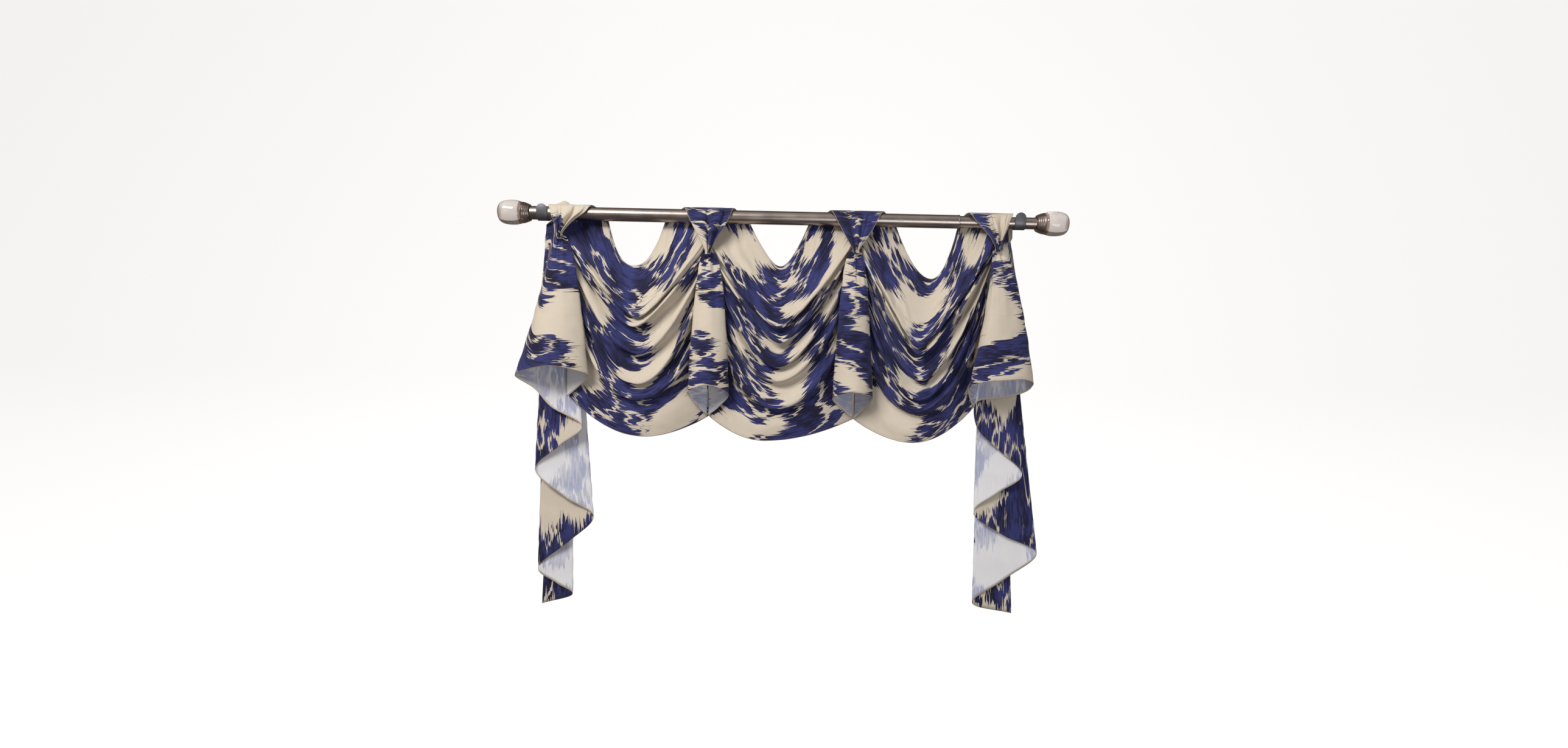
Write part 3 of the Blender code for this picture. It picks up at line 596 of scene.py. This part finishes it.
def cloth_material(name, ikat, weave, wrong_side, offset):
    made, tree, w, shader = new_material(name)
    flat = tree.nodes.new("ShaderNodeUVMap")
    flat.uv_map = "flat"
    edge = tree.nodes.new("ShaderNodeUVMap")
    edge.uv_map = "edge"
    pattern = tree.nodes.new("ShaderNodeGroup")
    pattern.node_tree = ikat
    pattern.inputs["Offset"].default_value = offset
    tree.links.new(flat.outputs[0], pattern.inputs["Flat place"])
    mottle = pattern.outputs["Mottle"]
    if wrong_side:
        ground = w.blend(mottle, *WRONG_SIDE_GROUND)
        ink = w.blend(mottle, *WRONG_SIDE_PRINT)
        through = w.between(mottle, 0.38, 0.60, 0.30, 0.85)
        share = w.maths("MULTIPLY", pattern.outputs["Print"], through)
    else:
        ground = w.blend(mottle, *CREAM)
        ink = w.blend(w.between(mottle, 0.38, 0.62), *NAVY)
        share = pattern.outputs["Print"]
    colour = w.blend(share, ground, ink)
    # A turned hem: its stitch line runs a little way in from the edge.
    apart = w.node("ShaderNodeSeparateXYZ", Vector=edge.outputs[0])
    along_edge, from_edge = apart.outputs[0], apart.outputs[1]
    from_line = w.maths("ABSOLUTE", w.maths("SUBTRACT", from_edge, HEM_WIDTH * MM))
    on_line = w.between(from_line, 0.0002, 0.0006, 1.0, 0.0)
    turn = w.maths("MULTIPLY", along_edge, 2 * math.pi / STITCH_PITCH)
    stitch = w.maths("GREATER_THAN", w.maths("SINE", turn), -0.7)
    sewn = w.maths("MULTIPLY", on_line, stitch)
    if wrong_side:
        turned = w.between(from_edge, 0.0034, 0.0040, 1.0, 0.0)
        colour = w.blend(turned, colour, TURNED_HEM)
    colour = w.blend(w.maths("MULTIPLY", sewn, 0.25), colour, STITCHES)
    # The fold of the hem shows as a fine tan line along the very edge.
    fold = w.between(from_edge, 0.0008, 0.0016, 0.7, 0.0)
    colour = w.blend(fold, colour, HEM_FOLD)
    tree.links.new(colour, shader.inputs["Base Color"])
    shader.inputs["Roughness"].default_value = 0.82
    shader.inputs["Sheen Weight"].default_value = 0.12
    shader.inputs["Sheen Roughness"].default_value = 0.5
    shader.inputs["Specular IOR Level"].default_value = 0.25
    threads = tree.nodes.new("ShaderNodeGroup")
    threads.node_tree = weave
    tree.links.new(flat.outputs[0], threads.inputs["Flat place"])
    pressed = w.maths("MULTIPLY", sewn, STITCH_DEPTH)
    height = w.maths("SUBTRACT", threads.outputs["Height"], pressed)
    bump = w.node("ShaderNodeBump", Strength=0.35, Distance=CLOTH_BUMP, Height=height)
    tree.links.new(bump.outputs[0], shader.inputs["Normal"])
    return made


def brushed_material(name, tones, metallic, rough):
    """Metal with fine marks that run round the tube, and broader smudges."""
    made, tree, w, shader = new_material(name)
    place = tree.nodes.new("ShaderNodeTexCoord").outputs["Object"]
    stretched = w.node("ShaderNodeVectorMath", _0=place, _1=(1400.0, 60.0, 60.0))
    stretched.operation = "MULTIPLY"
    grain = w.solid_noise(stretched.outputs[0], 1.0, 3.0)
    smudge = w.solid_noise(place, 22.0, 3.0)
    tree.links.new(w.blend(smudge, *tones), shader.inputs["Base Color"])
    shader.inputs["Metallic"].default_value = metallic
    worn = w.maths("ADD", w.maths("MULTIPLY", grain, 0.2), w.maths("MULTIPLY", smudge, 0.8))
    tree.links.new(w.between(worn, 0.3, 0.7, *rough), shader.inputs["Roughness"])
    bump = w.node("ShaderNodeBump", Strength=0.03, Distance=0.0001, Height=grain)
    tree.links.new(bump.outputs[0], shader.inputs["Normal"])
    return made


def glass_material():
    """Glass with painted refraction: a beige body for the pale wall seen through it, and a brown
    ring at its outer end and one at its seat in the collar for the darker room.
    """
    made, tree, w, shader = new_material("Clear glass")
    shader.inputs["Transmission Weight"].default_value = 0.72
    shader.inputs["IOR"].default_value = 1.48
    place = tree.nodes.new("ShaderNodeTexCoord").outputs["Object"]
    marks = w.solid_noise(place, 60.0, 2.0)
    tree.links.new(w.between(marks, 0.35, 0.75, 0.01, 0.06), shader.inputs["Roughness"])
    apart = w.node("ShaderNodeSeparateXYZ", Vector=place)
    along = w.maths("ABSOLUTE", w.maths("SUBTRACT", apart.outputs[0], GLASS_CENTRE))
    # Painted refraction: brown rings at the outer end and at the seat, and a beige body between
    # them. Only part of the light passes through, so this colour shows.
    ring = w.maths("MAXIMUM", w.between(along, *CAP_PAINTED_RING), w.between(along, *SEAT_PAINTED_RING))
    tree.links.new(w.blend(ring, GLASS_PAINTED_WALL_REFRACTION, GLASS_PAINTED_ROOM_REFRACTION), shader.inputs["Base Color"])
    return made


# ---------------------------------------------------------------- cloth shapes
ARM_CROWDING = 1.25  # a swag's columns crowd towards its two ends
FALL_CROWDING = 1.4  # the rows of a horn or tail crowd towards its gather
OUT_EARLY = 0.85  # a horn stands out from the wall a little sooner than it falls
LEAST_FLARE = 0.3

# How round a swag's lowest line is: in its folds, and how much more at the scooped top edge
FOLD_ROUNDING = 0.11
SCOOP_ROUNDING = 0.21

# Tabs: where along its strap a puff stands and how far it reaches, how much of the depth goes
# into even waves and into pleats, and how low the cloth may dip
PUFF_PLACE = 0.17
PUFF_REACH = 0.065
STRAP_WAVE = 0.4
STRAP_PLEAT = 0.75
STRAP_LOWEST = -2.2

# Dressing of the swags: pleats from top edge to hem, and heights in millimetres
SWAG_PLEATS = 14.2
SWAG_PLEAT_HEIGHT = 2.3
SWAG_FINE_PLEATS = 25.0
SWAG_FINE_HEIGHT = 0.6
SWAG_UPPER_PLEATS = 13
SWAG_WRINKLES = 0.34
SWAG_TUCK = 1.4

# Dressing of the horns and tails: ribs and waves across the front, the rest in millimetres
RIBS = 6
FINE_RIBS = 11
RIB_HEIGHT = 2.3
RIB_FADE = 58.0
DIP_HEIGHT = 3.2
DIP_DROP = 13.0
DIP_REACH = 9.0
WAVES = 2.2
WAVE_HEIGHT = 1.5
RIPPLE_HEIGHT = 0.6
FALL_WRINKLES = 0.30

# Wrinkles: the longest one's pitch in millimetres, and the turn from each to the next
LONGEST_WRINKLE = 62.0
GOLDEN_TURN = 2.399


def smooth_step(low, high, value):
    """0 up to low, 1 from high on, and eased between them."""
    t = np.clip((value - low) / (high - low), 0.0, 1.0)
    return t * t * (3 - 2 * t)


def window(value, low, full, ebb, end):
    """0 up to low, 1 from full to ebb, and 0 again from the end on."""
    return smooth_step(low, full, value) * (1 - smooth_step(ebb, end, value))


def bell(value, wide):
    """1 at nothing, falling off to both sides."""
    return np.exp(-((value / wide) ** 2))


def soft_floor(value, low):
    """The value, eased so that it never goes under the low limit."""
    return low + np.log1p(np.exp(np.clip((value - low) * 1.6, -30, 30))) / 1.6


def curve_through(table, shares):
    """The table's rows read at these shares of its length, on a curve through every row."""
    rows = np.array([row[1:] for row in table], float)
    last = len(rows) - 1
    at = np.clip(shares, 0.0, 1.0) * last
    i = np.minimum(at.astype(int), last - 1)
    t = (at - i)[:, None]
    rows = np.vstack([2 * rows[0] - rows[1], rows, 2 * rows[-1] - rows[-2]])
    p0, p1, p2, p3 = rows[i], rows[i + 1], rows[i + 2], rows[i + 3]
    return 0.5 * (
        2 * p1
        + (p2 - p0) * t
        + (2 * p0 - 5 * p1 + 4 * p2 - p3) * t**2
        + (3 * p1 - p0 - 3 * p2 + p3) * t**3
    )


def lengths(grid, axis):
    """Distance along the cloth from its first row or column."""
    steps = np.linalg.norm(np.diff(grid, axis=axis), axis=2)
    start = np.zeros_like(np.take(steps, [0], axis=axis))
    return np.concatenate([start, np.cumsum(steps, axis=axis)], axis=axis)


def towards_wrong_side(grid):
    """The direction the wrong side faces at every point, where columns run from left to right."""
    down = np.gradient(grid, axis=0)
    across = np.gradient(grid, axis=1)
    normal = np.cross(across, down)
    size = np.linalg.norm(normal, axis=2, keepdims=True)
    return normal / np.maximum(size, 1e-9)


def swag_arms(columns):
    """Each column's place, -1 to 1, and how far along its arm it is: 1 at the swag's ends."""
    s = np.linspace(-1, 1, columns)[None, :]
    return s, 1 - (1 - np.abs(s)) ** ARM_CROWDING


def swag_grid(table, across, down):
    r = np.linspace(0, 1, down + 1)
    lx, lz, lo, cx, cz, co, rx, rz, ro, belly, full = curve_through(table, r).T[:, :, None]
    s, t = swag_arms(across + 1)
    left = s < 0
    ex, ez, eo = np.where(left, lx, rx), np.where(left, lz, rz), np.where(left, lo, ro)
    rounding = FOLD_ROUNDING + SCOOP_ROUNDING * np.maximum(0.0, 1 - 4 * r)[:, None]
    top = (1 + rounding**2) ** (belly / 2) - rounding**belly
    rise = ((t * t + rounding**2) ** (belly / 2) - rounding**belly) / top
    bulge = (1 - t * t) ** full
    return np.stack([cx + (ex - cx) * t, cz + (ez - cz) * rise, eo + (co - eo) * bulge], axis=2)


def falling_grid(table, lines, down):
    share = np.linspace(0, 1, lines + 1)
    tx, tz, to, hx, hz, ho, flare = curve_through(table, share).T[:, None, :]
    t = (np.linspace(0, 1, down + 1) ** FALL_CROWDING)[:, None]
    x = tx + (hx - tx) * t ** np.maximum(flare, LEAST_FLARE)
    return np.stack([x, tz + (hz - tz) * t, to + (ho - to) * t**OUT_EARLY], axis=2)


def tab_grid(table, across, along, pleats, laps, puff):
    run = np.linspace(0, 1, along + 1)
    left, right, z, out, depth = curve_through(table, run).T[:, :, None]
    s = np.linspace(0, 1, across + 1)[None, :]
    centre, half, lift = puff
    bulge = bell(s - centre, half) * bell(run[:, None] - PUFF_PLACE, PUFF_REACH)
    wave = depth * np.cos(s * 4 * math.pi) * STRAP_WAVE
    for place, height, wide in pleats:
        wave = wave + height * np.clip(depth - 0.5, 0, 2.0) * STRAP_PLEAT * bell(s - place, wide)
    for start, fold, rise in laps:
        step = smooth_step(start, fold, s) - smooth_step(fold, fold + 0.035, s)
        wave = wave + rise * np.clip(depth - 0.3, 0, 1.2) * step
    out = out + soft_floor(wave, STRAP_LOWEST) - 0.25 * lift * bulge
    return np.stack([left + (right - left) * s, z + lift * bulge, out], axis=2)


def soft_wrinkles(along, down, seed):
    """Low waves that never quite repeat, for cloth that has been handled."""
    made = 0.0
    for n in range(7):
        turn = seed * 1.7 + n * GOLDEN_TURN
        pitch = LONGEST_WRINKLE / (1 + 0.33 * n)
        way = along * math.cos(turn) + down * math.sin(turn)
        side = along * math.sin(turn) - down * math.cos(turn)
        bend = 1.3 * np.sin(side / (1.3 * pitch))
        made = made + np.sin(way * 2 * math.pi / pitch + seed + n + bend) / (1 + 0.7 * n)
    return made


def press_creases(grid):
    """Lifts or lowers the cloth along each short crease of the table."""
    x, z = grid[..., 0], grid[..., 1]
    for _, x0, z0, x1, z1, height, wide in CREASES:
        run = math.hypot(x1 - x0, z1 - z0)
        ux, uz = (x1 - x0) / run, (z1 - z0) / run
        on = (x - x0) * ux + (z - z0) * uz
        bow = 0.06 * run * np.sin(np.clip(on / run, 0, 1) * math.pi)
        off = (x - x0) * uz - (z - z0) * ux + bow * (1 if ux * uz < 0 else -1)
        grid[..., 2] += height * window(on, 0, 0.3 * run, 0.7 * run, run) * bell(off, wide)


def dress_swag(grid, seed):
    """Narrow pleats that run out of the gathers, listed creases and soft wrinkles."""
    rows, columns = grid.shape[:2]
    r = np.linspace(0, 1, rows)[:, None]
    s, t = swag_arms(columns)
    in_folds = window(r, 0.20, 0.30, 0.74, 0.90)
    reach = smooth_step(0.25, 0.72, t) * (1 - 0.8 * smooth_step(0.90, 1.0, t))
    swing = 0.9 * np.sin(7 * r + seed + 2 * s)
    pleat = np.sin(2 * math.pi * (r * SWAG_PLEATS + 0.35 * t + seed) + swing)
    fine = np.sin(2 * math.pi * (r * SWAG_FINE_PLEATS + seed) + 1.5 * s)
    height = in_folds * reach * (SWAG_PLEAT_HEIGHT * pleat + SWAG_FINE_HEIGHT * fine * t)
    upper = window(r, 0.03, 0.12, 0.24, 0.32) * window(t, 0.35, 0.80, 0.93, 1.0)
    height = height + upper * np.sin(2 * math.pi * (r * SWAG_UPPER_PLEATS + 0.5 * t + seed))
    wrinkles = soft_wrinkles(lengths(grid, 1), lengths(grid, 0), seed)
    height = height + SWAG_WRINKLES * wrinkles * (1 - smooth_step(0.9, 1.0, t))
    # Close to its ends the swag is tucked back a little, clear of the horns and tails in front.
    height = height + SWAG_TUCK * smooth_step(0.66, 0.78, t) * window(r, 0.10, 0.22, 0.40, 0.60)
    grid += towards_wrong_side(grid) * height[..., None]
    press_creases(grid)
    return grid


def dress_fall(grid, seed, front):
    """Gathers fan down from the pinch and turn into slow waves; just below it the cloth dips in."""
    drop = np.linalg.norm(grid - grid[:1], axis=2)
    c = np.arange(grid.shape[1])[None, :] / front
    on_front = window(c, 0.10, 0.22, 0.80, 0.92)
    on_middle = window(c, 0.29, 0.40, 0.62, 0.75)
    pinched = np.exp(-drop / RIB_FADE) * smooth_step(0, 7, drop)
    ribs = np.cos(2 * math.pi * (c * RIBS + seed))
    ribs = ribs + 0.5 * np.cos(2 * math.pi * (c * FINE_RIBS + 2 * seed))
    height = on_middle * RIB_HEIGHT * pinched * ribs
    height = height + on_middle * DIP_HEIGHT * bell(drop - DIP_DROP, DIP_REACH)
    waves = WAVE_HEIGHT * np.sin(2 * math.pi * (WAVES * c + seed))
    waves = waves + RIPPLE_HEIGHT * np.sin(11 * c + seed)
    height = height + on_front * smooth_step(40, 170, drop) * waves
    wrinkles = soft_wrinkles(lengths(grid, 1), lengths(grid, 0), seed)
    height = height + FALL_WRINKLES * wrinkles * smooth_step(0, 30, drop)
    return grid + towards_wrong_side(grid) * height[..., None]


# ---------------------------------------------------------------- cloth pieces
# Spaces between the grid's points, across and down
SWAG_SPACES = (168, 240)
HORN_SPACES = (120, 110)
TAB_SPACES = (100, 80)
# A tail has this many to each line of its table, and its first lines are its horn.
TAIL_SPACES_A_LINE = 12
TAIL_SPACES_DOWN = 130
TAIL_HORN_LINES = 7

# Each piece as cut: name, table, flat width and length in metres, flat area in square metres,
# how far the print is shifted, and for the larger pieces the seed of their small waves
SWAGS = (
    ("swag_left", SWAG_LEFT, (0.52, 0.49), 0.148, 0.0, 0.31),
    ("swag_centre", SWAG_CENTRE, (0.51, 0.50), 0.154, 1.7, 0.68),
    ("swag_right", SWAG_RIGHT, (0.545, 0.49), 0.148, 3.4, 1.05),
)
HORNS = (
    ("horn_centre_left", HORN_CENTRE_LEFT, (0.24, 0.30), 0.038, 6.1, 0.2),
    ("horn_centre_right", HORN_CENTRE_RIGHT, (0.23, 0.31), 0.039, 7.4, 0.65),
)
# The left tail is rolled the other way round, so its faces are turned over.
TAILS = (
    ("tail_left", TAIL_LEFT, (0.98, 0.755), 0.260, 9.3, 0.5, True),
    ("tail_right", TAIL_RIGHT, (1.02, 0.755), 0.270, 11.2, 0.8, False),
)
TABS = (
    ("tab_1", TAB_1, (0.10, 0.123), 0.0072, 15.9),
    ("tab_2", TAB_2, (0.13, 0.145), 0.0095, 14.57),
    ("tab_3", TAB_3, (0.13, 0.134), 0.0092, 14.94),
    ("tab_4", TAB_4, (0.095, 0.128), 0.0073, 15.31),
)


def make_cloth(name, grid, flat, edge, surfaces, node, flip=False):
    """A sheet through the grid, with its flat-cloth and hem places, instead of a CAD solid."""
    rows, columns = grid.shape[:2]
    metres = np.stack([grid[..., 0], -(ROD_FROM_WALL + grid[..., 2]), grid[..., 1]], axis=2) * MM
    index = np.arange(rows * columns).reshape(rows, columns)
    quads = np.stack([index[:-1, :-1], index[1:, :-1], index[1:, 1:], index[:-1, 1:]], axis=2)
    quads = quads.reshape(-1, 4)
    if flip:
        quads = quads[:, ::-1]
    mesh = bpy.data.meshes.new(name)
    mesh.from_pydata(metres.reshape(-1, 3).tolist(), [], quads.tolist())
    loops = quads.reshape(-1)
    for label, values in (("flat", flat), ("edge", edge)):
        places = (values.reshape(-1, 2)[loops] * MM).reshape(-1).astype(np.float32)
        mesh.uv_layers.new(name=label).data.foreach_set("uv", places)
    mesh.polygons.foreach_set("use_smooth", np.ones(len(quads), bool))
    for surface in surfaces:
        mesh.materials.append(surface)
    piece = bpy.data.objects.new(name, mesh)
    bpy.context.scene.collection.objects.link(piece)
    thicken = piece.modifiers.new("Cloth thickness", "SOLIDIFY")
    thicken.thickness = CLOTH_THICKNESS * MM
    thicken.offset = 0.0
    thicken.material_offset = 1
    thicken.material_offset_rim = 0
    thicken.thickness_clamp = 1.0
    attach(piece, "root")
    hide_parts(node)


def swag_cloth(node, table, seed, surfaces):
    grid = swag_grid(table, *SWAG_SPACES)
    middle = grid.shape[1] // 2
    along = lengths(grid, 1)
    along = along - along[:, middle : middle + 1]
    fall = lengths(grid, 0)
    down = np.repeat(fall[:, middle : middle + 1], grid.shape[1], axis=1)
    flat = np.stack([along, down], axis=2)
    edge = np.stack([along, np.minimum(fall, fall[-1:] - fall)], axis=2)
    grid = dress_swag(grid, seed)
    make_cloth(f"{node}_cloth", grid, flat, edge, surfaces, node)


def horn_cloth(node, table, seed, surfaces):
    grid = falling_grid(table, *HORN_SPACES)
    middle = grid.shape[1] // 2
    along = lengths(grid, 1)
    along = along - along[:, middle : middle + 1]
    down = lengths(grid, 0)
    flat = np.stack([along, down], axis=2)
    edge = np.stack([along, down[-1:] - down], axis=2)
    grid = dress_fall(grid, seed, HORN_SPACES[0])
    make_cloth(f"{node}_cloth", grid, flat, edge, surfaces, node)


def tail_cloth(node, table, seed, flip, surfaces):
    grid = falling_grid(table, TAIL_SPACES_A_LINE * (len(table) - 1), TAIL_SPACES_DOWN)
    front = TAIL_SPACES_A_LINE * TAIL_HORN_LINES
    along = lengths(grid, 1)
    down = lengths(grid, 0)
    level = np.repeat(along[-1:], grid.shape[0], axis=0)
    # The print's threads run down the cascade, and round the horn.
    flat = np.stack([down, level], axis=2)
    flat[:, :front] = np.stack([along, down], axis=2)[:, :front]
    edge = np.stack([level, down[-1:] - down], axis=2)
    # Where the columns run from right to left, the wrong side is the other way.
    side = -1.0 if flip else 1.0
    grid = grid + side * (dress_fall(grid, seed, front) - grid)
    make_cloth(f"{node}_cloth", grid, flat, edge, surfaces, node, flip)


def tab_cloth(node, table, surfaces):
    grid = tab_grid(table, *TAB_SPACES, TAB_PLEATS[node], TAB_LAPS[node], TAB_PUFFS[node])
    middle = grid.shape[1] // 2
    across = lengths(grid, 1)
    down = lengths(grid, 0)
    flat = np.stack([across - across[:, middle : middle + 1], down], axis=2)
    edge = np.stack([down, np.minimum(across, across[:, -1:] - across)], axis=2)
    make_cloth(f"{node}_cloth", grid, flat, edge, surfaces, node)


# ---------------------------------------------------------------- rod and fittings
# In metres, and in degrees
JOIN_WITHIN = 0.00001
SHARP_EDGE = 28


def finish_node(node, surface):
    """Smooths a CAD solid's curved faces, keeps its edges sharp and gives it its finish."""
    piece = bpy.data.objects[node]
    piece.data.polygons.foreach_set("use_smooth", np.ones(len(piece.data.polygons), bool))
    if "custom_normal" in piece.data.attributes:
        piece.data.attributes.remove(piece.data.attributes["custom_normal"])
    weld = piece.modifiers.new("join corners", "WELD")
    weld.merge_threshold = JOIN_WITHIN
    split = piece.modifiers.new("keep sharp edges", "EDGE_SPLIT")
    split.split_angle = math.radians(SHARP_EDGE)
    for slot in piece.material_slots:
        slot.material = surface


def build():
    make_camera()
    make_studio()
    ikat, weave = ikat_group(), weave_group()

    def cotton(label, offset):
        return (
            cloth_material(f"Printed cotton, {label}", ikat, weave, False, offset),
            cloth_material(f"Printed cotton, wrong side of {label}", ikat, weave, True, offset),
        )

    for node, table, size, area, offset, seed in SWAGS:
        swag_cloth(node, table, seed, cotton(node, offset))
    for node, table, size, area, offset, seed in HORNS:
        horn_cloth(node, table, seed, cotton(node, offset))
    for node, table, size, area, offset, seed, flip in TAILS:
        tail_cloth(node, table, seed, flip, cotton(node, offset))
    for node, table, size, area, offset in TABS:
        tab_cloth(node, table, cotton(node, offset))

    nickel = brushed_material("Brushed nickel", BRUSHED_NICKEL, 1.0, (0.28, 0.38))
    grey = brushed_material("Grey painted steel", GREY_STEEL, 0.5, (0.35, 0.5))
    glass = glass_material()
    # The collars get the nickel painted lighter as a painted highlight on their rings. It is also a
    # little smoother, which is real.
    collar_nickel_painted_lighter = brushed_material("Collar nickel, painted lighter", COLLAR_NICKEL_PAINTED_LIGHTER, 1.0, (0.24, 0.34))
    for node in ("rod_outer_tube", "rod_inner_tube"):
        finish_node(node, nickel)
    for side in ("left", "right"):
        finish_node(f"finial_collar_{side}", collar_nickel_painted_lighter)
        finish_node(f"finial_glass_{side}", glass)
        finish_node(f"cradle_{side}", grey)
        finish_node(f"wall_plate_{side}", nickel)
        for place in ("upper", "lower"):
            finish_node(f"plate_screw_{side}_{place}", nickel)


build()
